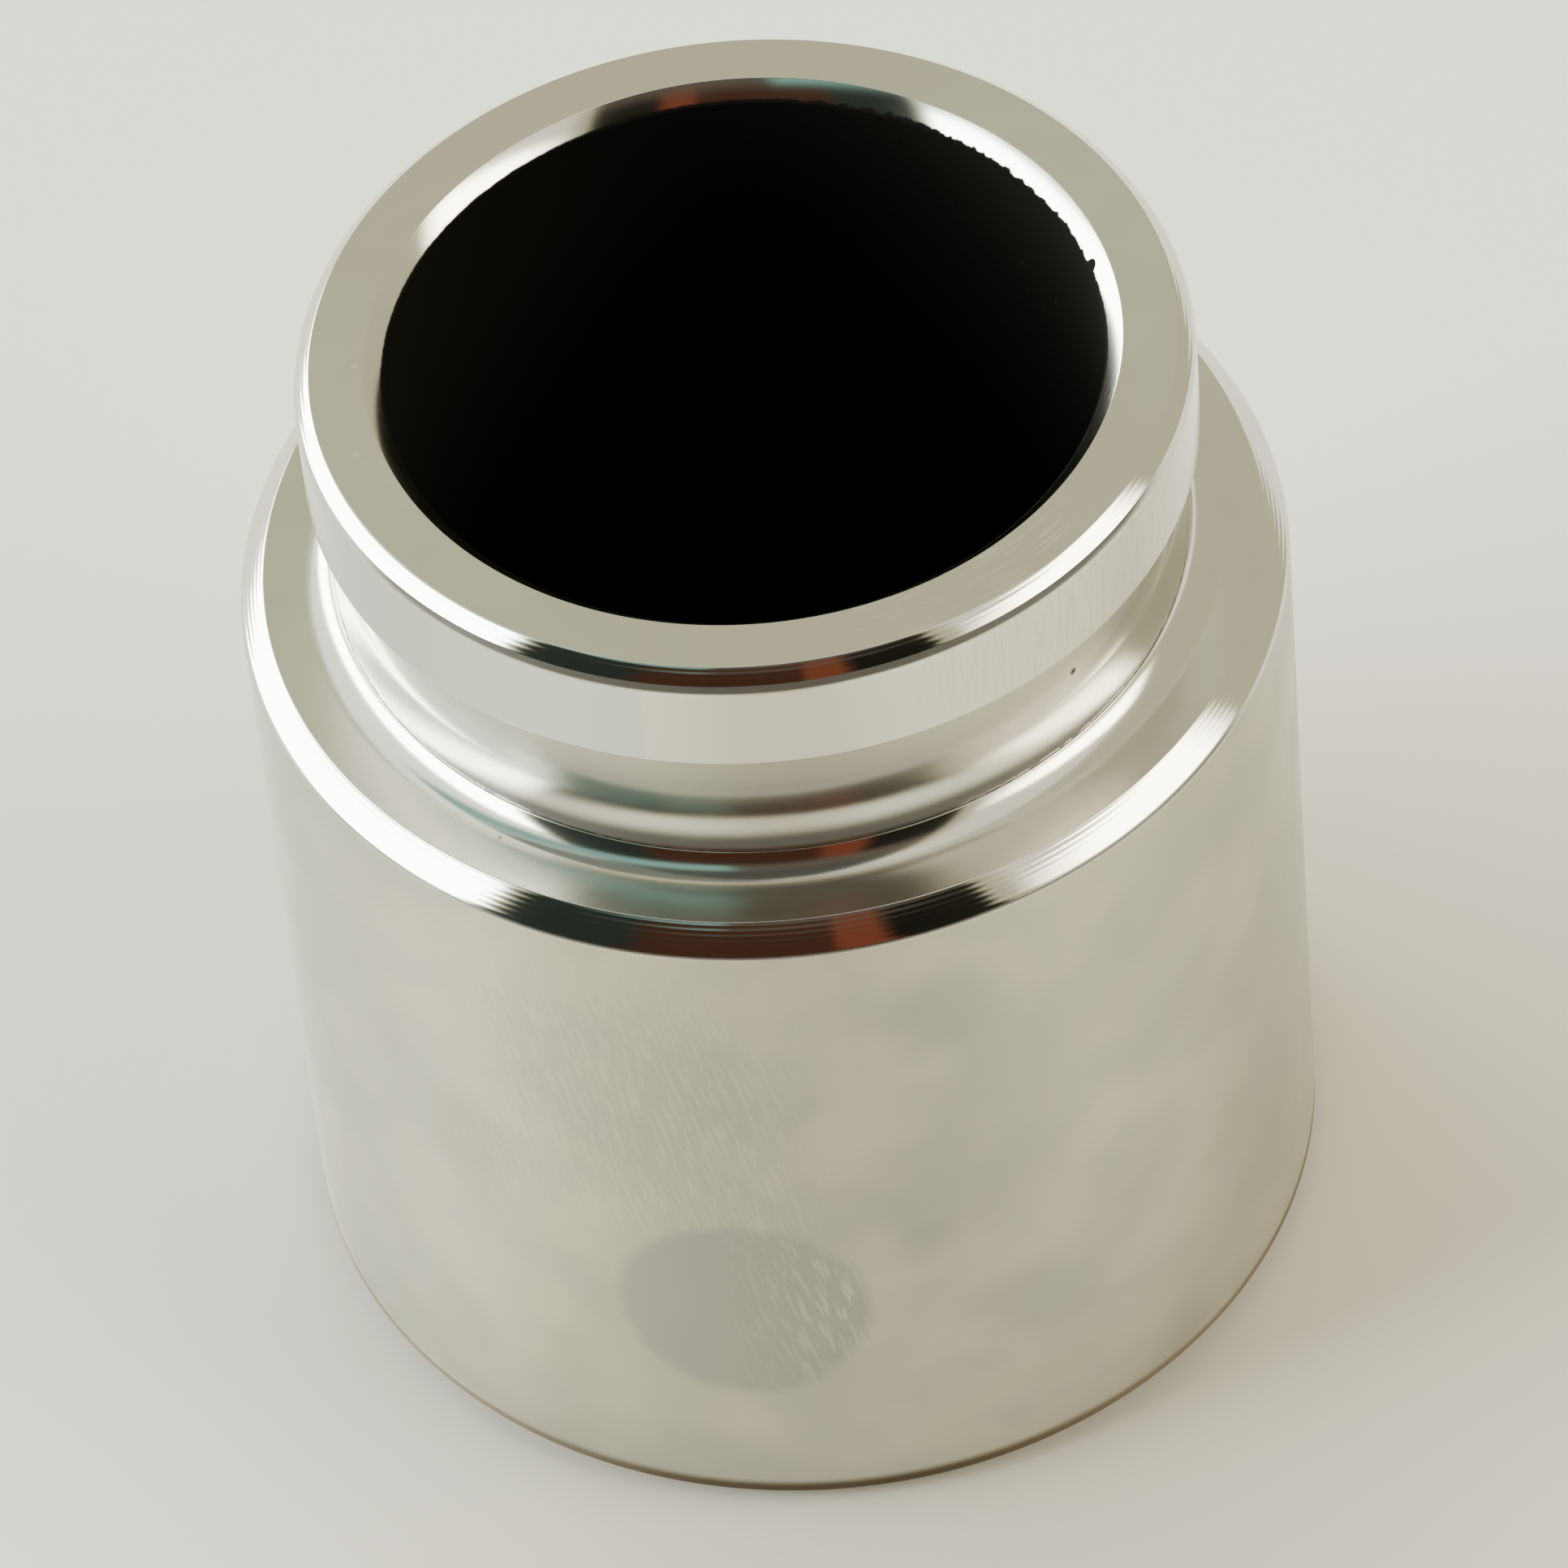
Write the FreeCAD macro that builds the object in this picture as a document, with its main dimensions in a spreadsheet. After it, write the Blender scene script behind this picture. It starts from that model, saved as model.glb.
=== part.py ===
import FreeCAD, Part
import math
import os

import Sketcher

# Brake caliper piston: one turned and plated steel cup, standing on its closed end with the mouth up.
# Millimetres, +Z up along the axis, origin at the centre of the closed end's outer face.

SIZES = [
    ("body_diameter", 48.0, "skirt that slides in the caliper's bore"),
    ("overall_height", 53.2, "closed end to lip face"),
    ("shoulder_width", 3.75, "skirt in to the neck's land, on the radius"),
    ("neck_height", 13.05, "shoulder to lip face"),
    ("land_round", 0.6, "convex round that turns the land in to the boot groove"),
    ("groove_flare", 17.0, "slope of the boot groove's upper wall, degrees from the axis"),
    ("groove_round", 4.0, "hollow round at the deepest place of the boot groove"),
    ("groove_depth", 1.3, "boot groove below the land, on the radius"),
    ("groove_seat", 2.4, "centre of the hollow round above the shoulder"),
    ("groove_foot", 1.75, "fillet between the boot groove and the shoulder"),
    ("neck_wall", 4.05, "neck's land to bore, on the radius"),
    ("floor_thickness", 6.4, "closed end"),
    ("bore_corner", 2.5, "fillet round the bottom of the bore"),
    ("lip_chamfer", 0.75, "outer edge of the lip face"),
    ("mouth_chamfer", 0.8, "inner edge of the lip face"),
    ("shoulder_chamfer", 1.15, "outer edge of the shoulder"),
    ("base_chamfer", 1.0, "outer edge of the closed end"),
    ("edge_break", 0.5, "round where an outer chamfer runs into its cylinder"),
]

doc = FreeCAD.newDocument("CaliperPiston")
sheet = doc.addObject("Spreadsheet::Sheet", "Sizes")
for row, (alias, value, note) in enumerate(SIZES, 1):
    sheet.set(f"A{row}", alias)
    sheet.set(f"B{row}", str(value))
    sheet.set(f"C{row}", note)
    sheet.setAlias(f"B{row}", alias)
doc.recompute()

body = doc.addObject("PartDesign::Body", "Piston")
body.Label = "piston"
body.Placement = FreeCAD.Placement()

AXIS, START, END, CENTRE = -1, 1, 2, 3
CLEARANCE = 2.0


def origin_item(role):
    return next(item for item in body.Origin.OriginFeatures if item.Role == role)


def new_sketch(name):
    """Half-section sketch: its x is the radius and its y the height."""
    sketch = body.newObject("Sketcher::SketchObject", name)
    sketch.AttachmentSupport = (origin_item("XZ_Plane"), [""])
    sketch.MapMode = "FlatFace"
    return sketch


def add_line(sketch, start, end):
    return sketch.addGeometry(Part.LineSegment(FreeCAD.Vector(*start, 0), FreeCAD.Vector(*end, 0)), False)


def add_arc(sketch, centre, radius, first, last):
    """Arc drawn counterclockwise between two directions in degrees."""
    circle = Part.Circle(FreeCAD.Vector(*centre, 0), FreeCAD.Vector(0, 0, 1), radius)
    arc = Part.ArcOfCircle(circle, math.radians(first), math.radians(last))
    return sketch.addGeometry(arc, False)


def bind(sketch, name, kind, places, value, expression):
    """Adds a named dimension and ties it to the sheet."""
    index = sketch.addConstraint(Sketcher.Constraint(kind, *places, value))
    sketch.renameConstraint(index, name)
    sketch.setExpression(f"Constraints.{name}", expression)


def rectangle(sketch, left, bottom, right, top):
    """Closed rectangle; returns its bottom, right, top and left sides."""
    corners = [(left, bottom), (right, bottom), (right, top), (left, top)]
    sides = [add_line(sketch, corners[i], corners[(i + 1) % 4]) for i in range(4)]
    for i in range(4):
        sketch.addConstraint(Sketcher.Constraint("Coincident", sides[i], END, sides[(i + 1) % 4], START))
        sketch.addConstraint(Sketcher.Constraint("Horizontal" if i % 2 == 0 else "Vertical", sides[i]))
    return sides


def turn(kind, name, sketch):
    """Full turn of a half-section about the piston's axis."""
    feature = body.newObject(kind, name)
    feature.Profile = sketch
    feature.ReferenceAxis = (origin_item("Z_Axis"), [""])
    feature.Angle = 360
    sketch.Visibility = False
    doc.recompute()
    return feature


def cut_checked(name, sketch):
    before = body.Shape.Volume
    feature = turn("PartDesign::Groove", name, sketch)
    if feature.Shape.Volume > before - 1:
        raise ValueError(f"{name} cuts nothing")
    return feature


def edge_at(base, radius, height):
    """Name of the base's round edge at this radius and height."""
    for number, edge in enumerate(base.Shape.Edges, 1):
        if not isinstance(edge.Curve, Part.Circle):
            continue
        if abs(edge.Curve.Radius - radius) < 1e-5 and abs(edge.Curve.Center.z - height) < 1e-5:
            return f"Edge{number}"
    raise ValueError(f"no edge of radius {radius} at height {height}")


def dress(kind, name, base, places, alias):
    """Chamfer or fillet of the base's round edges, its size tied to the sheet."""
    feature = body.newObject(kind, name)
    feature.Base = (base, [edge_at(base, radius, height) for radius, height in places])
    prop = "Size" if kind.endswith("Chamfer") else "Radius"
    setattr(feature, prop, getattr(sheet, alias))
    feature.setExpression(prop, f"Sizes.{alias}")
    doc.recompute()
    return feature


body_r = sheet.body_diameter / 2
neck_r = body_r - sheet.shoulder_width
bore_r = neck_r - sheet.neck_wall
top = sheet.overall_height
shoulder = top - sheet.neck_height

# Blank

blank_sketch = new_sketch("BlankSection")
bottom_side, right_side, top_side, left_side = rectangle(blank_sketch, 0, 0, body_r, top)
blank_sketch.addConstraint(Sketcher.Constraint("Coincident", bottom_side, START, AXIS, START))
bind(blank_sketch, "radius", "DistanceX", (AXIS, START, bottom_side, END), body_r, "Sizes.body_diameter / 2")
bind(blank_sketch, "height", "DistanceY", (AXIS, START, top_side, START), top, "Sizes.overall_height")
blank = turn("PartDesign::Revolution", "Blank", blank_sketch)

# Neck with the boot groove
# One cut down the neck's land, round into the groove and out along the shoulder.

flare = sheet.groove_flare
foot = sheet.groove_foot
hollow = sheet.groove_round
convex = sheet.land_round
slope = math.radians(flare)
hollow_x = neck_r - sheet.groove_depth + hollow
hollow_z = shoulder + sheet.groove_seat
wall_end = (hollow_x - hollow * math.cos(slope), hollow_z + hollow * math.sin(slope))
wall_top_x = neck_r - convex * (1 - math.cos(slope))
wall_top = (wall_top_x, wall_end[1] + (wall_top_x - wall_end[0]) / math.tan(slope))
land_end = wall_top[1] + convex * math.sin(slope)
foot_turn = math.degrees(math.asin((sheet.groove_seat - foot) / (hollow - foot)))
foot_x = hollow_x - (hollow - foot) * math.cos(math.radians(foot_turn))

neck_sketch = new_sketch("NeckSection")
land = add_line(neck_sketch, (neck_r, top + CLEARANCE), (neck_r, land_end))
round_in = add_arc(neck_sketch, (neck_r - convex, land_end), convex, -flare, 0)
wall = add_line(neck_sketch, wall_end, wall_top)
round_low = add_arc(neck_sketch, (hollow_x, hollow_z), hollow, 180 - flare, 180 + foot_turn)
round_foot = add_arc(neck_sketch, (foot_x, shoulder + foot), foot, 180 + foot_turn, 270)
floor = add_line(neck_sketch, (foot_x, shoulder), (body_r + CLEARANCE, shoulder))
outside = add_line(neck_sketch, (body_r + CLEARANCE, shoulder), (body_r + CLEARANCE, top + CLEARANCE))
cover = add_line(neck_sketch, (body_r + CLEARANCE, top + CLEARANCE), (neck_r, top + CLEARANCE))
for constraint in [
    ("Vertical", land),
    ("Vertical", outside),
    ("Horizontal", floor),
    ("Horizontal", cover),
    ("Tangent", land, END, round_in, END),
    ("Tangent", round_in, START, wall, END),
    ("Tangent", wall, START, round_low, START),
    ("Tangent", round_low, END, round_foot, START),
    ("Tangent", round_foot, END, floor, START),
    ("Coincident", floor, END, outside, START),
    ("Coincident", outside, END, cover, START),
    ("Coincident", cover, END, land, START),
]:
    neck_sketch.addConstraint(Sketcher.Constraint(*constraint))
NECK_R = "Sizes.body_diameter / 2 - Sizes.shoulder_width"
bind(neck_sketch, "land_radius", "DistanceX", (AXIS, START, land, START), neck_r, NECK_R)
bind(neck_sketch, "shoulder", "DistanceY", (AXIS, START, floor, START), shoulder,
     "Sizes.overall_height - Sizes.neck_height")
bind(neck_sketch, "round_in", "Radius", (round_in,), convex, "Sizes.land_round")
bind(neck_sketch, "wall_slope", "Angle", (wall,), math.radians(90 - flare), "90 deg - Sizes.groove_flare * 1 deg")
bind(neck_sketch, "round_low", "Radius", (round_low,), hollow, "Sizes.groove_round")
bind(neck_sketch, "hollow_radius", "DistanceX", (AXIS, START, round_low, CENTRE), hollow_x,
     f"{NECK_R} - Sizes.groove_depth + Sizes.groove_round")
bind(neck_sketch, "hollow_height", "DistanceY", (AXIS, START, round_low, CENTRE), hollow_z,
     "Sizes.overall_height - Sizes.neck_height + Sizes.groove_seat")
bind(neck_sketch, "round_foot", "Radius", (round_foot,), foot, "Sizes.groove_foot")
bind(neck_sketch, "clear_radius", "DistanceX", (AXIS, START, outside, START), body_r + CLEARANCE,
     f"Sizes.body_diameter / 2 + {CLEARANCE}")
bind(neck_sketch, "clear_top", "DistanceY", (AXIS, START, cover, START), top + CLEARANCE,
     f"Sizes.overall_height + {CLEARANCE}")
neck = cut_checked("Neck", neck_sketch)

# Bore

bore_sketch = new_sketch("BoreSection")
bottom_side, right_side, top_side, left_side = rectangle(
    bore_sketch, 0, sheet.floor_thickness, bore_r, top + CLEARANCE)
bore_sketch.addConstraint(Sketcher.Constraint("PointOnObject", bottom_side, START, AXIS - 1))
bind(bore_sketch, "radius", "DistanceX", (AXIS, START, bottom_side, END), bore_r, f"{NECK_R} - Sizes.neck_wall")
bind(bore_sketch, "floor", "DistanceY", (AXIS, START, bottom_side, END), sheet.floor_thickness,
     "Sizes.floor_thickness")
bind(bore_sketch, "clear_top", "DistanceY", (AXIS, START, top_side, START), top + CLEARANCE,
     f"Sizes.overall_height + {CLEARANCE}")
bore = cut_checked("Bore", bore_sketch)

# Edges

CHAMFER, FILLET = "PartDesign::Chamfer", "PartDesign::Fillet"
step = dress(FILLET, "BoreCorner", bore, [(bore_r, sheet.floor_thickness)], "bore_corner")
step = dress(CHAMFER, "LipChamfer", step, [(neck_r, top)], "lip_chamfer")
step = dress(CHAMFER, "MouthChamfer", step, [(bore_r, top)], "mouth_chamfer")
step = dress(CHAMFER, "ShoulderChamfer", step, [(body_r, shoulder)], "shoulder_chamfer")
step = dress(CHAMFER, "BaseChamfer", step, [(body_r, 0)], "base_chamfer")
breaks = [
    (neck_r, top - sheet.lip_chamfer),
    (body_r, shoulder - sheet.shoulder_chamfer),
    (body_r, sheet.base_chamfer),
]
step = dress(FILLET, "EdgeBreaks", step, breaks, "edge_break")
body.Tip = step
doc.recompute()

# Check and export

for item in doc.Objects:
    if "Invalid" in item.State or "Error" in item.State:
        raise ValueError(f"{item.Name} did not build")
    if hasattr(item, "Shape") and item.isDerivedFrom("PartDesign::Feature"):
        if item.Shape.isNull() or not item.Shape.isValid():
            raise ValueError(f"{item.Name} has no sound shape")
if len(body.Shape.Solids) != 1:
    raise ValueError("the piston is not one solid")

os.makedirs("parts", exist_ok=True)
body.Shape.exportStep("parts/piston.step")
print("piston", round(body.Shape.Volume, 1), "mm3", body.Shape.BoundBox)
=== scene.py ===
import math

import bmesh
import bpy
from mathutils import Matrix, Vector


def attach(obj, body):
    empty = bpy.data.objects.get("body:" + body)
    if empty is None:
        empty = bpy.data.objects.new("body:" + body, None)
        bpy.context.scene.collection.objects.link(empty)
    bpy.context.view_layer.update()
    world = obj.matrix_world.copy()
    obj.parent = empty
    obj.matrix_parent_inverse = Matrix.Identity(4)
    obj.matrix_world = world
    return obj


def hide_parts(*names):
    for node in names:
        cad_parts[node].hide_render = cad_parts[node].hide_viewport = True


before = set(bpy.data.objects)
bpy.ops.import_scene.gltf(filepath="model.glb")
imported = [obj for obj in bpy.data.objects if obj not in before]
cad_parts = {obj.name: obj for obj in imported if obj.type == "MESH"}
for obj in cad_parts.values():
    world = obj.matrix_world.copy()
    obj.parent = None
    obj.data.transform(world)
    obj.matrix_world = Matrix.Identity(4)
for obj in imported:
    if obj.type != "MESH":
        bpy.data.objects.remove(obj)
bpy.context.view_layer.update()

# The piston: one steel cup, turned on a lathe and bored from the mouth, then hard plated outside.
# Its half-section is drawn as corners and turned once round the axis, and the rounds between the
# straight runs are rolled in afterwards, as the tool's nose leaves them.
MM = 0.001
SKIRT_R = 24.0
NECK_R = 20.25
BORE_R = 16.2
HEIGHT = 53.2
SHOULDER_Z = 40.15
FLOOR_Z = 6.4
STEPS = 480

HOLLOW_R = 4.66
GROOVE_R = 19.02
foot_turn = math.radians(26.4)
hollow = (GROOVE_R + HOLLOW_R, SHOULDER_Z + 3.04)


def meet(point_a, angle_a, point_b, angle_b):
    """Where two straight runs cross; each is a point and the direction of its outward normal."""
    (ax, az), (bx, bz) = point_a, point_b
    dot_a = ax * math.cos(angle_a) + az * math.sin(angle_a)
    dot_b = bx * math.cos(angle_b) + bz * math.sin(angle_b)
    det = math.sin(angle_b - angle_a)
    return ((dot_a * math.sin(angle_b) - dot_b * math.sin(angle_a)) / det,
            (dot_b * math.cos(angle_a) - dot_a * math.cos(angle_b)) / det)


def on_hollow(angle):
    """Point of the boot groove's hollow round whose outward normal has this slope."""
    return hollow[0] - HOLLOW_R * math.cos(angle), hollow[1] - HOLLOW_R * math.sin(angle)


slope_point = on_hollow(foot_turn)
deep_corner = meet((GROOVE_R, 44), 0.0, slope_point, foot_turn)
foot_corner = meet(slope_point, foot_turn, (20, SHOULDER_Z), math.pi / 2)

# corner (radius, height), radius of its round, faces across the round
SECTION = [
    ((0.0, 0.0), 0, 0),
    ((SKIRT_R - 1.0, 0.0), 0.08, 2),
    ((SKIRT_R, 1.0), 0.3, 5),
    ((SKIRT_R, SHOULDER_Z - 1.15), 0.55, 8),
    ((SKIRT_R - 1.15, SHOULDER_Z), 0.08, 3),
    (foot_corner, 1.75, 16),
    (deep_corner, HOLLOW_R, 24),
    ((GROOVE_R, 47.15), 0.4, 6),
    ((NECK_R, 47.69), 0.07, 3),
    ((NECK_R, HEIGHT - 1.05), 1.0, 8),
    ((NECK_R - 0.15, HEIGHT - 0.6), 0.05, 2),
    ((NECK_R - 0.75, HEIGHT), 0.08, 3),
    ((BORE_R + 0.8, HEIGHT), 0.08, 3),
    ((BORE_R, HEIGHT - 0.8), 0.15, 3),
    ((BORE_R, FLOOR_Z), 2.5, 8),
    ((0.0, FLOOR_Z), 0, 0),
]

piston_mesh = bmesh.new()
corners = [piston_mesh.verts.new((r * MM, 0, z * MM)) for (r, z), _, _ in SECTION]
runs = [piston_mesh.edges.new(pair) for pair in zip(corners, corners[1:])]
bmesh.ops.spin(piston_mesh, geom=corners + runs, cent=(0, 0, 0), axis=(0, 0, 1), angle=math.tau,
               steps=STEPS, use_merge=True, use_duplicate=False)
bmesh.ops.remove_doubles(piston_mesh, verts=piston_mesh.verts, dist=1e-7)
bmesh.ops.recalc_face_normals(piston_mesh, faces=piston_mesh.faces)


def ring_at(mesh, radius, height):
    """Edges of the circle at this radius and height."""
    found = []
    for edge in mesh.edges:
        if all(abs(v.co.z - height * MM) < 1e-7 and abs(v.co.xy.length - radius * MM) < 2e-6 for v in edge.verts):
            found.append(edge)
    return found


for index, ((radius, height), round_r, faces) in enumerate(SECTION):
    if not faces:
        continue
    before, after = Vector(SECTION[index - 1][0]), Vector(SECTION[index + 1][0])
    here = Vector((radius, height))
    turn = (here - before).angle(after - here)
    bmesh.ops.bevel(piston_mesh, geom=ring_at(piston_mesh, radius, height), affect="EDGES",
                    offset=round_r * MM * math.tan(turn / 2) * 0.999, offset_type="OFFSET",
                    segments=faces, profile=0.5, material=-1, clamp_overlap=False)

for face in piston_mesh.faces:
    face.smooth = True
piston_data = bpy.data.meshes.new("piston_turned")
piston_mesh.to_mesh(piston_data)
piston_mesh.free()
piston = bpy.data.objects.new("piston_turned", piston_data)
bpy.context.collection.objects.link(piston)
even = piston.modifiers.new("even_normals", "WEIGHTED_NORMAL")
even.mode = "FACE_AREA"
even.weight = 100
even.keep_sharp = False


class Wire:
    """A socket of a node tree that takes part in sums like a number."""

    def __init__(self, tree, socket=None):
        self.tree = tree
        self.socket = socket

    def node(self, kind, settings=None, inputs=None, output=0):
        """Adds a node: its settings first, then the values or links of its sockets."""
        made = self.tree.nodes.new(kind)
        for name, value in (settings or {}).items():
            if name == "stops":
                ramp = made.color_ramp
                while len(ramp.elements) < len(value):
                    ramp.elements.new(1.0)
                for element, (place, colour) in zip(ramp.elements, value):
                    element.position = place
                    element.color = (*colour, 1.0) if len(colour) == 3 else colour
            else:
                setattr(made, name, value)
        for name, value in (inputs or {}).items():
            if isinstance(value, Wire):
                self.tree.links.new(value.socket, made.inputs[name])
            else:
                made.inputs[name].default_value = value
        return Wire(self.tree, made.outputs[output]) if len(made.outputs) else None

    def math(self, operation, first, second=0.0, third=0.0):
        return self.node("ShaderNodeMath", {"operation": operation}, {0: first, 1: second, 2: third})

    def __add__(self, other):
        return self.math("ADD", self, other)

    __radd__ = __add__

    def __sub__(self, other):
        return self.math("SUBTRACT", self, other)

    def __rsub__(self, other):
        return self.math("SUBTRACT", other, self)

    def __mul__(self, other):
        return self.math("MULTIPLY", self, other)

    __rmul__ = __mul__

    def __truediv__(self, other):
        return self.math("DIVIDE", self, other)

    def __pow__(self, other):
        return self.math("POWER", self, other)

    def step(self, low, high):
        """0 below low, 1 above high, smooth between."""
        return self.node("ShaderNodeMapRange", {"interpolation_type": "SMOOTHSTEP"},
                         {"Value": self, "From Min": low, "From Max": high})

    def between(self, low, high, soft):
        return self.step(low - soft, low + soft) * (1 - self.step(high - soft, high + soft))

    def mix(self, first, second):
        """Colour that goes from first to second as this goes from 0 to 1."""
        made = self.tree.nodes.new("ShaderNodeMix")
        made.data_type = "RGBA"
        self.tree.links.new(self.socket, made.inputs["Factor"])
        for index, value in ((6, first), (7, second)):
            if isinstance(value, Wire):
                self.tree.links.new(value.socket, made.inputs[index])
            else:
                made.inputs[index].default_value = (*value, 1.0)
        return Wire(self.tree, made.outputs[2])


plating = bpy.data.materials.new("hard_plated_steel")
plating.use_nodes = True
tree = plating.node_tree
tree.nodes.clear()
start = Wire(tree)
place = start.node("ShaderNodeTexCoord", output="Object")
in_mm = start.node("ShaderNodeVectorMath", {"operation": "SCALE"}, {0: place, "Scale": 1000.0})
x, y, z = [start.node("ShaderNodeSeparateXYZ", inputs={0: in_mm}, output=i) for i in range(3)]
radius = start.math("SQRT", x * x + y * y)
angle = start.math("ARCTAN2", x, y * -1.0) * (180 / math.pi)


def noise(scale, detail=2.0, vector=in_mm):
    return start.node("ShaderNodeTexNoise", {"noise_dimensions": "3D"},
                      {"Vector": vector, "Scale": scale, "Detail": detail})


def stretched(across, along, level=0.0):
    """Coordinates for marks drawn out one way: how tight they lie round the piston and along it."""
    return start.node("ShaderNodeCombineXYZ", inputs={0: across, 1: along, 2: level})


def at(turn, r, height):
    """Point on the piston: degrees round from the front, radius and height."""
    return r * math.sin(math.radians(turn)), -r * math.cos(math.radians(turn)), height


def spot(turn, r, height, size, soft, wobble=0.0):
    """Round mark of this size; wobble makes its outline uneven."""
    away = start.node("ShaderNodeVectorMath", {"operation": "DISTANCE"}, {0: in_mm, 1: at(turn, r, height)},
                      output="Value")
    return 1 - (away + wobble).step(size - soft, size + soft)


clouds = noise(0.11, 2.0)
mottle = noise(0.3, 2.0)
grain = noise(9.0, 1.0)
uneven = (noise(0.7, 2.0) - 0.5) * 2.0

# where each finish lies
on_skirt = (1 - z.step(38.7, 39.1)) * radius.step(23.9, 23.95)
on_shoulder_chamfer = z.between(39.1, 40.12, 0.03) * radius.step(22.7, 22.9)
on_lip_chamfer = z.between(52.5, 53.18, 0.03) * radius.step(19.4, 19.55)
on_lip_face = z.step(53.18, 53.2) * radius.between(17.0, 19.5, 0.02)
on_shoulder = z.between(40.1, 40.2, 0.02) * radius.between(20.0, 22.85, 0.05)
on_land = z.step(47.7, 47.8) * (1 - z.step(52.1, 52.3)) * radius.step(20.2, 20.24)
on_groove = z.step(44.0, 44.8) * (1 - z.step(47.5, 47.65)) * (1 - radius.step(19.4, 19.6))
# the bottom band of the skirt, which carries painted contact shadow
rim_painted_shadow = 1 - z.step(1.3, 1.9)

# the plating stops unevenly inside the mouth, most of all at the back on the right
teeth = angle.between(100, 168, 8) * 0.34 + 0.07
ragged = (noise(2.1, 4.0) - 0.5) * teeth
bare = 1 - (radius + ragged - spot(102.4, BORE_R + 0.1, 52.6, 0.3, 0.12) * 0.3).step(16.27, 16.36)

# tool marks: feed lines on the chamfers, finer rings and a few scratches on the lip face
feed = start.math("SINE", z * (math.tau / 0.177))
face_feed = start.math("SINE", radius * (math.tau / 0.16))
scratches = noise(1.0, 1.0, stretched(angle * 0.10, radius * 7.0)).step(0.60, 0.66)
scratches = scratches * on_lip_face * angle.between(14, 46, 6)
scratches = scratches + spot(-75.9, 18.1, HEIGHT, 0.12, 0.08) + spot(-93.4, 17.4, HEIGHT, 0.15, 0.08)
polish = noise(1.0, 2.0, stretched(angle * 1.3, z * 0.35))
wipe = noise(1.0, 2.0, stretched(angle * 1.7 + z * 0.95, z * 0.42 - angle * 0.12))
wipe_area = on_skirt * angle.between(-42, -2, 7) * z.between(18, 37, 4)
pits = (spot(43.9, GROOVE_R, 44.56, 0.17, 0.08) + spot(31.2, 19.6, 41.7, 0.12, 0.10) * 0.6
        + spot(28.2, 19.9, 41.2, 0.12, 0.10) * 0.6 + spot(23.1, 19.6, 41.6, 0.12, 0.10) * 0.5
        + spot(-38.4, 20.8, SHOULDER_Z, 0.10, 0.08) * 0.6)
height = (feed * (on_shoulder_chamfer + on_lip_chamfer) * 0.0012 + face_feed * on_lip_face * 0.0008
          - scratches * 0.003
          + (wipe - 0.5) * wipe_area * 0.006) * MM
bump = start.node("ShaderNodeBump", inputs={"Strength": 1.0, "Distance": 1.0, "Height": height})

# a soft bluish-grey blotch low on the front of the skirt, thinned where the wipe marks cross it, and softer darker
# patches around it
bluish_blotch = spot(-10.4, SKIRT_R, 14.3, 5.9, 0.5, uneven * 0.35) * (1 - wipe.step(0.50, 0.62) * angle.step(-14, -4) * 0.8)
shade = spot(-21, SKIRT_R, 30, 6.5, 3.0, uneven) * 0.55
shade = shade + spot(15, SKIRT_R, 33.5, 2.6, 1.4, uneven * 0.6) * 0.7 + spot(17, SKIRT_R, 22, 4.6, 2.2, uneven) * 0.5
shade = shade + spot(10, SKIRT_R, 18, 1.3, 0.8, uneven * 0.3) * 0.5 + spot(37, SKIRT_R, 17, 3.0, 1.6, uneven) * 0.5

tone = mottle.mix((0.60, 0.59, 0.535), (0.66, 0.65, 0.595))
# painted reflection: the land is tinted bluish-grey on its left and round the back, and cream across the front and
# right, as the side lights would mirror in it; a patch of polish marks on the front right is darker
land_painted_reflection_and_polish = (angle.step(-17.6, -16.6) * (1 - angle.step(110, 170))).mix((0.61, 0.625, 0.61), (0.73, 0.715, 0.64))
land_painted_reflection_and_polish = (polish.step(0.46, 0.68) * angle.between(18, 62, 6)).mix(land_painted_reflection_and_polish, (0.64, 0.63, 0.57))
tone = on_land.mix(tone, land_painted_reflection_and_polish)
# painted shade: the deep part of the boot groove is darker than the land, as shade in the recess, broken up by grain
tone = (on_groove * (grain * 0.6 + 0.6)).mix(tone, (0.46, 0.445, 0.39))
skirt_tone = clouds.step(0.36, 0.64).mix((0.46, 0.455, 0.385), (0.57, 0.548, 0.45))
skirt_tone = (mottle.step(0.45, 0.70) * 0.55).mix(skirt_tone, (0.48, 0.487, 0.43))
skirt_tone = shade.mix(skirt_tone, (0.40, 0.405, 0.35))
skirt_tone = (wipe.step(0.46, 0.66) * wipe_area * 0.5).mix(skirt_tone, (0.60, 0.58, 0.49))
skirt_tone = (bluish_blotch * 0.8).mix(skirt_tone, (0.345, 0.365, 0.345))
tone = on_skirt.mix(tone, skirt_tone)
# painted contact shadow: a dark brown band along the foot of the skirt, where it stands on the card
tone = (rim_painted_shadow * 0.9).mix(tone, (0.09, 0.065, 0.035))
tone = pits.mix(tone, (0.03, 0.028, 0.02))
tone = (scratches * 0.6).mix(tone, (0.85, 0.84, 0.76))
finish = start.node("ShaderNodeBsdfPrincipled", inputs={
    "Base Color": tone,
    "Metallic": 1.0,
    "Roughness": 0.10 + mottle * 0.05 + (on_lip_face + on_shoulder) * 0.09 + on_skirt * 0.18 + on_groove * 0.12
                 + rim_painted_shadow * 0.3 + bluish_blotch * 0.05 - (on_shoulder_chamfer + on_lip_chamfer) * 0.05,
    "Anisotropic": 0.7,
    "Anisotropic Rotation": 0.25,
    "Normal": bump,
})
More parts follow.
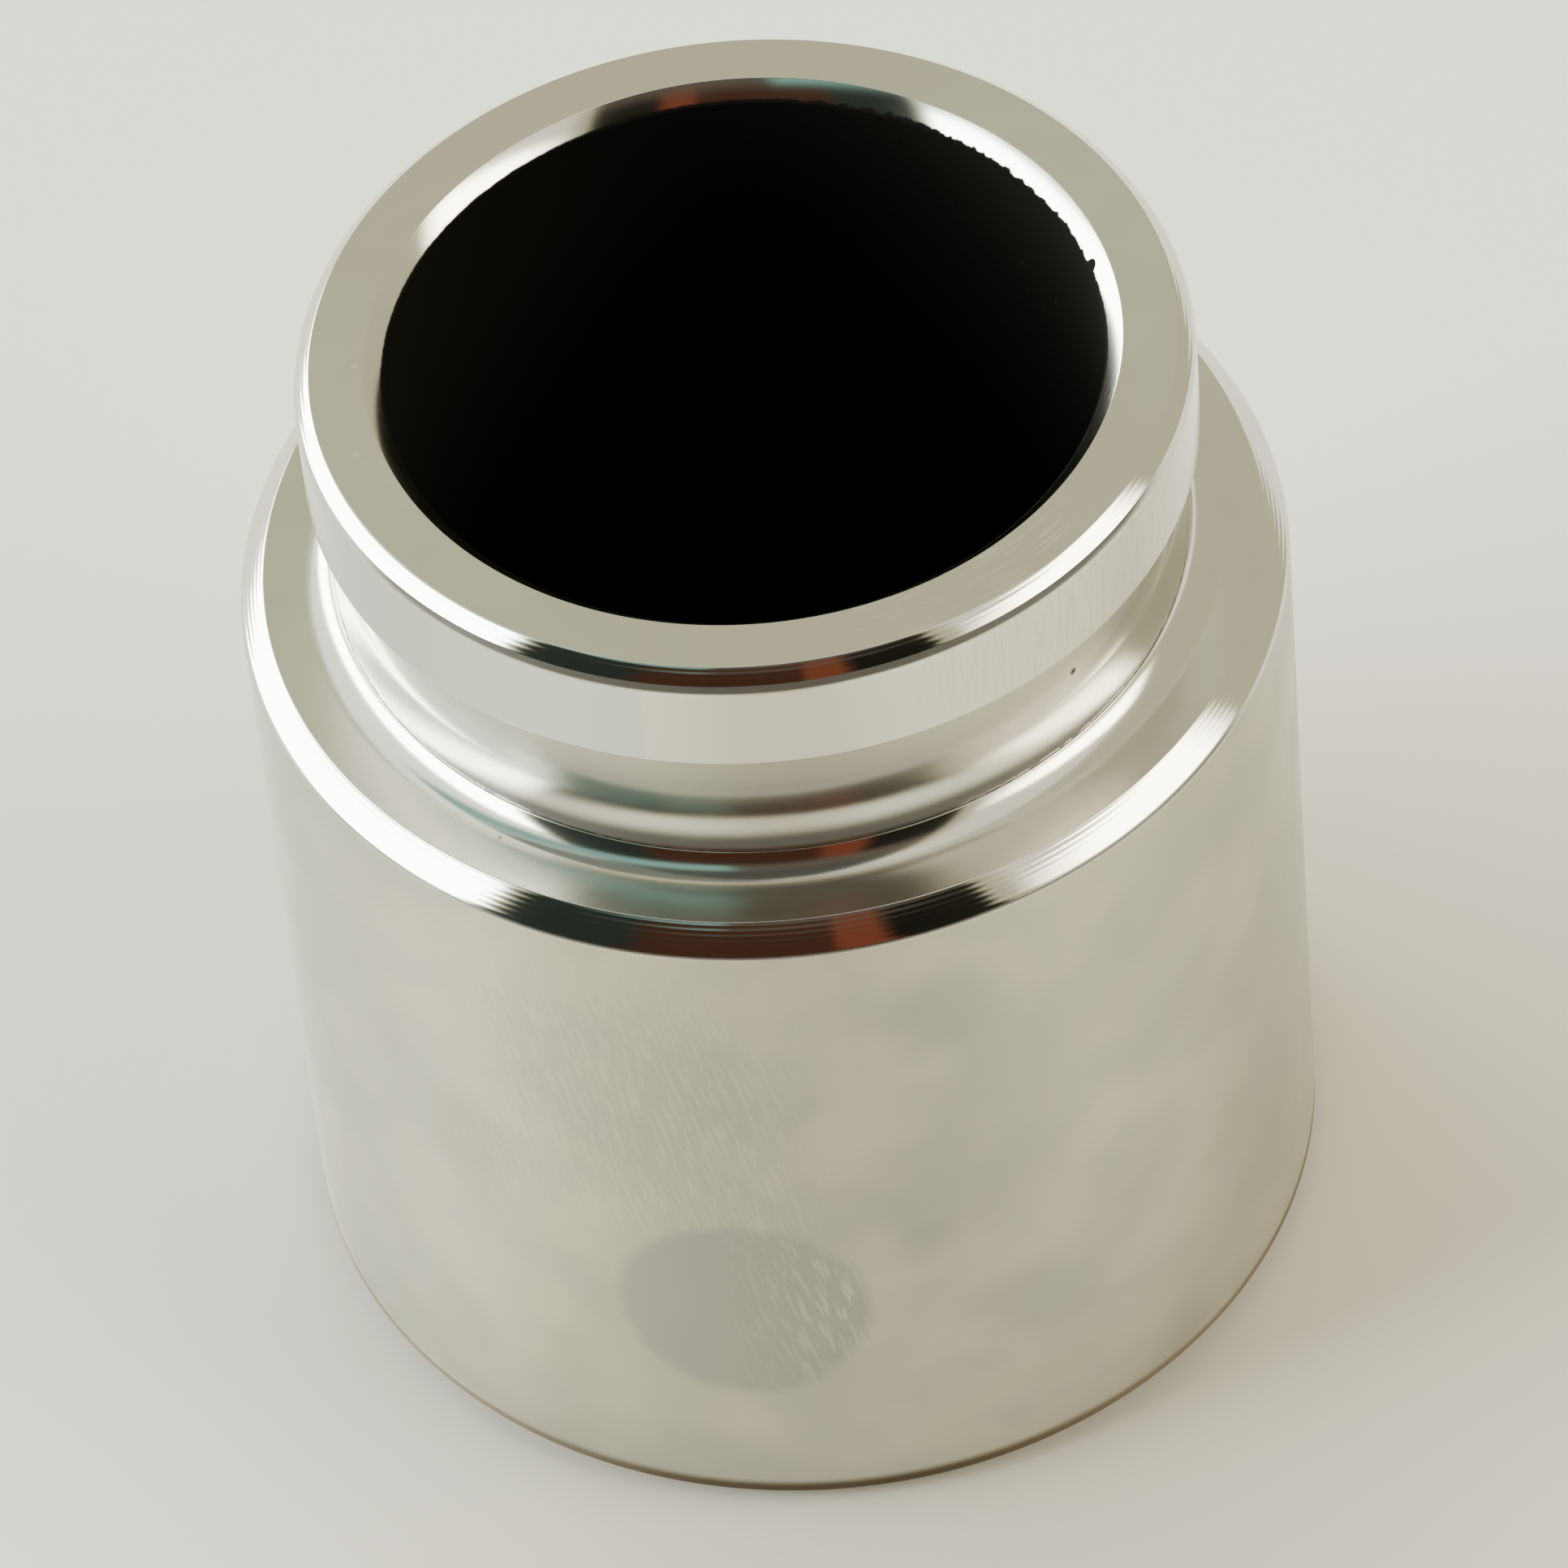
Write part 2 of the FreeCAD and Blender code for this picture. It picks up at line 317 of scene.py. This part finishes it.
# bare steel inside the mouth, given a near-black colour with almost no sheen: painted shade deep in the bore
bare_bore_with_painted_shade = start.node("ShaderNodeBsdfPrincipled", inputs={
    "Base Color": (0.004, 0.0037, 0.003, 1.0),
    "Roughness": 0.8,
    "Specular IOR Level": 0.04,
})
surface = start.node("ShaderNodeMixShader", inputs={0: bare, 1: finish, 2: bare_bore_with_painted_shade})
start.node("ShaderNodeOutputMaterial", inputs={"Surface": surface})
piston_data.materials.append(plating)

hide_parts("piston")
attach(piston, "root")

# The floor: one wide pale sheet of card that the piston stands on.
# It is matt and shows the piston's soft shadow, and its colour holds painted shadow too: darker in a strip in front
# of the piston, near-black farther out in front and to the sides, lighter behind.
floor_mesh = bmesh.new()
bmesh.ops.create_circle(floor_mesh, cap_ends=True, segments=96, radius=3.0)
floor_data = bpy.data.meshes.new("floor")
floor_mesh.to_mesh(floor_data)
floor_mesh.free()
floor = bpy.data.objects.new("floor", floor_data)
bpy.context.collection.objects.link(floor)
card = bpy.data.materials.new("pale_card_with_painted_shadow")
card.use_nodes = True
card_tree = Wire(card.node_tree)
card_place = card_tree.node("ShaderNodeTexCoord", output="Object")
reach = card_tree.node("ShaderNodeVectorMath", {"operation": "LENGTH"}, {0: card_place}, output="Value")
toward_back = card_tree.node("ShaderNodeSeparateXYZ", inputs={0: card_place}, output=1)
to_side = card_tree.math("ABSOLUTE", card_tree.node("ShaderNodeSeparateXYZ", inputs={0: card_place}, output=0))
# painted shadow: the card is darker in a strip along the camera's line in front of the piston and near-black farther
# out; the card behind the piston is lighter
card_colour_with_painted_shadow = to_side.step(0.005, 0.05).mix((0.53, 0.513, 0.445), (0.78, 0.765, 0.69))
card_colour_with_painted_shadow = reach.step(0.10, 0.19).mix(card_colour_with_painted_shadow, (0.035, 0.033, 0.028))
card_colour_with_painted_shadow = toward_back.step(-0.012, 0.05).mix(card_colour_with_painted_shadow, (0.86, 0.85, 0.80))
card_finish = card.node_tree.nodes["Principled BSDF"]
card.node_tree.links.new(card_colour_with_painted_shadow.socket, card_finish.inputs["Base Color"])
card_finish.inputs["Roughness"].default_value = 0.9
floor_data.materials.append(card)

# The light: a soft tent, brightest at the two sides, with one dark opening on the camera's side.
# The opening is what the chamfers, the groove and the shoulder mirror as dark bands.
tent = bpy.data.worlds.new("soft_tent")
bpy.context.scene.world = tent
tent.use_nodes = True
tent.node_tree.nodes.clear()
sky = Wire(tent.node_tree)
direction = sky.node("ShaderNodeTexCoord", output="Generated")
dx, dy, dz = [sky.node("ShaderNodeSeparateXYZ", inputs={0: direction}, output=i) for i in range(3)]
azimuth = sky.math("ARCTAN2", dx, dy * -1.0) * (180 / math.pi)
elevation = sky.math("ARCSINE", dz) * (180 / math.pi)


def panel(az_low, az_high, el_low, el_high, soft=2.0):
    """Soft-edged window in the tent, its sides in degrees from the camera's side and from the horizon."""
    return azimuth.between(az_low, az_high, soft) * elevation.between(el_low, el_high, soft)


left_top = 40 - (azimuth * -1.0).step(64, 122) * 21
tone = elevation.step(60, 82).mix((0.84, 0.82, 0.55), (1.1, 1.07, 0.98))
tone = panel(-150, -64, -10, 85, 3).mix(tone, (2.2, 2.3, 2.1))
tone = panel(46, 92, 5, 80, 3).mix(tone, (1.5, 1.4, 1.15))
tone = panel(-150, -64.5, -10, left_top, 2.5).mix(tone, (20.0, 20.5, 19.5))
right_window = azimuth.step(43, 68) * (1 - azimuth.step(86, 99)) * elevation.between(13, 37, 3)
tone = right_window.mix(tone, (16.0, 14.8, 12.0))
dark = azimuth.step(-38, -30).mix((0.035, 0.045, 0.038), (0.085, 0.036, 0.022))
dark = panel(7, 17, 5, 55, 1.5).mix(dark, (0.26, 0.075, 0.038))
dark = azimuth.step(18, 20).mix(dark, (0.018, 0.018, 0.012))
dark = elevation.step(43, 55).mix(dark, (0.17, 0.145, 0.115))
dark = elevation.step(60, 68).mix(dark, (0.12, 0.12, 0.10))
tone = panel(-61, 40, -14, 88).mix(tone, dark)
tone = panel(-125, -55, 62, 88, 3).mix(tone, (0.28, 0.30, 0.26))
tone = panel(-120, -18, 50, 62, 3).mix(tone, (0.34, 0.68, 0.60))
glow = sky.node("ShaderNodeBackground", inputs={"Color": tone, "Strength": 1.0})
sky.node("ShaderNodeOutputWorld", inputs={"Surface": glow})

# The camera: a long lens, 48 degrees above the table and rolled a little, as the photograph was taken.
LENS_MM = 249.7
tilt = math.radians(47.99)
roll = math.radians(5.64)
aim = Vector((-0.086, 0.0, 23.77)) * MM
forward = Vector((0, math.cos(tilt), -math.sin(tilt)))
level_right = Vector((1, 0, 0))
level_down = Vector((0, -math.sin(tilt), -math.cos(tilt)))
right = level_right * math.cos(roll) + level_down * math.sin(roll)
down = level_down * math.cos(roll) - level_right * math.sin(roll)
camera_data = bpy.data.cameras.new("camera")
camera_data.lens = LENS_MM
camera_data.sensor_width = 36.0
camera_data.clip_start = 0.01
camera = bpy.data.objects.new("camera", camera_data)
camera.matrix_world = Matrix.Translation(aim - forward * 507.7 * MM) @ Matrix((right, -down, -forward)).transposed().to_4x4()
bpy.context.collection.objects.link(camera)
bpy.context.scene.camera = camera
